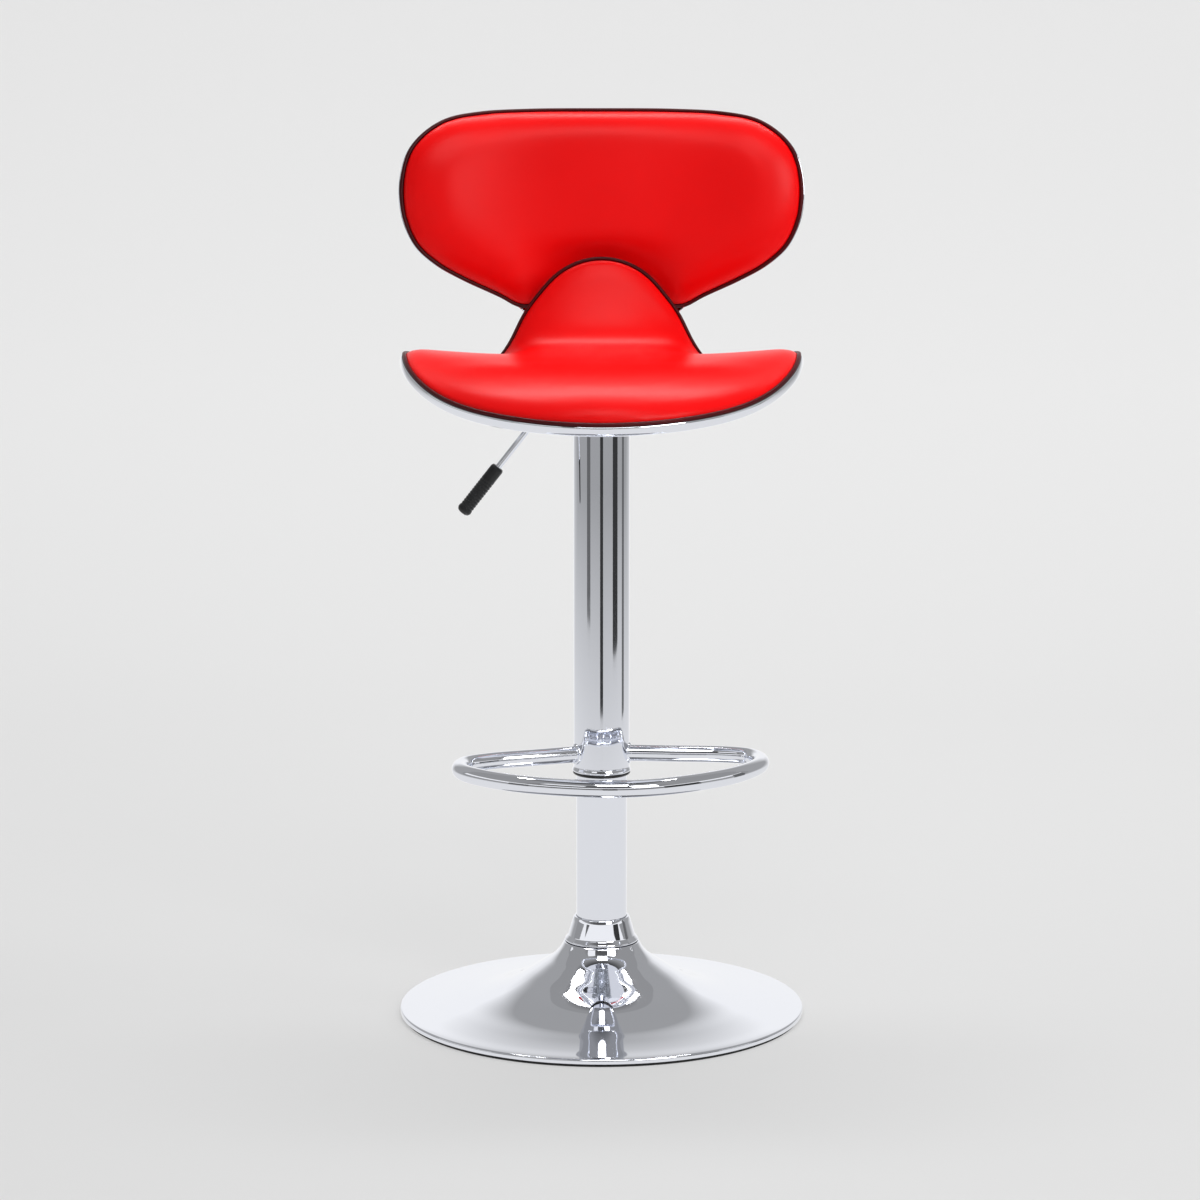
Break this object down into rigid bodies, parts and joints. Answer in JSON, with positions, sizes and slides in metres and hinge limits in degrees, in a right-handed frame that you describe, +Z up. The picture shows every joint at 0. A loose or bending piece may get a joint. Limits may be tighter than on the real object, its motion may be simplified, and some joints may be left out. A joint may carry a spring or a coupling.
{
  "type": "counter stool",
  "caption": "Height-adjustable counter stool: padded saddle seat with winged back, gas lift, lever, D-shaped footrest and chromed trumpet base.",
  "frame": {"origin": "on the floor, on the axis of the column, under the middle of the base", "axes": "+Z up along the column, the front of the seat faces -Y, +X to the right seen from the front"},
  "size_m": [0.3888, 0.385, 0.8533],
  "materials": {
    "chrome": "mirror chrome plate",
    "steel": "zinc-plated steel",
    "iron": "rough black iron",
    "brass": "plain brass",
    "rubber": "matt black rubber",
    "black_plastic": "fine-grained black plastic",
    "black_enamel": "black baked paint",
    "plywood": "moulded beech ply",
    "red_leather": "glossy bright red leatherette",
    "dark_piping": "dark welt piping"
  },
  "bodies": {
    "base": {"base_shell": "chrome", "floor_ring": "rubber", "base_plate": "steel", "base_weight": "iron", "base_socket": "steel", "base_collar": "chrome", "column_tube": "chrome", "column_bottom_plate": "steel", "guide_bush": "black_plastic", "bearing_lower_washer": "steel", "bearing_ball_cage": "brass"},
    "rod": {"piston_rod": "chrome", "piston": "black_plastic", "retaining_clip": "steel", "bump_stop": "rubber", "bearing_upper_washer": "steel"},
    "seat_unit": {"pressure_cylinder": "black_enamel", "rod_gland": "black_plastic", "valve_body": "brass", "upper_tube": "chrome", "upper_tube_cap": "steel", "glide_ring": "black_plastic", "footrest_ring": "chrome", "seat_plate": "steel", "taper_socket": "steel", "lever_bracket": "steel", "lever_pivot_pin": "steel", "seat_pan": "chrome", "seat_board": "plywood", "seat_cushion": "red_leather", "seat_piping": "dark_piping", "back_shell": "chrome", "back_board": "plywood", "back_cushion": "red_leather", "back_piping": "dark_piping", "seat_bolt_1": "steel", "seat_bolt_2": "steel", "seat_bolt_3": "steel", "seat_bolt_4": "steel", "seat_tee_nut_1": "steel", "seat_tee_nut_2": "steel", "seat_tee_nut_3": "steel", "seat_tee_nut_4": "steel", "back_bolt_1": "chrome", "back_bolt_2": "chrome", "back_bolt_3": "chrome", "back_bolt_4": "chrome", "back_tee_nut_1": "steel", "back_tee_nut_2": "steel", "back_tee_nut_3": "steel", "back_tee_nut_4": "steel", "back_spacer_1": "chrome", "back_spacer_2": "chrome", "back_spacer_3": "chrome", "back_spacer_4": "chrome"},
    "lever": {"lever_rod": "chrome", "lever_grip": "black_plastic"},
    "valve_pin": {"valve_pin": "steel"}
  },
  "joints": [
    {"name": "seat_swivel", "type": "hinge", "parent": "base", "child": "rod", "pos_m": [0, 0, 0.03], "axis": [0, 0, 1], "continuous": true},
    {"name": "gas_lift", "type": "slide", "parent": "rod", "child": "seat_unit", "axis": [0, 0, 1], "range_m": [0, 0.21]},
    {"name": "lever_pull", "type": "hinge", "parent": "seat_unit", "child": "lever", "pos_m": [-0.026, 0, 0.5735], "axis": [0, 1, 0], "range_deg": [0, 8], "stiffness_Nm_per_rad": 20},
    {"name": "valve_press", "type": "slide", "parent": "seat_unit", "child": "valve_pin", "axis": [0, 0, -1], "range_m": [0, 0.0042]}
  ],
  "couplings": [
    {"joint": "valve_press", "follows": "lever_pull", "m_per_rad": 0.0283}
  ]
}
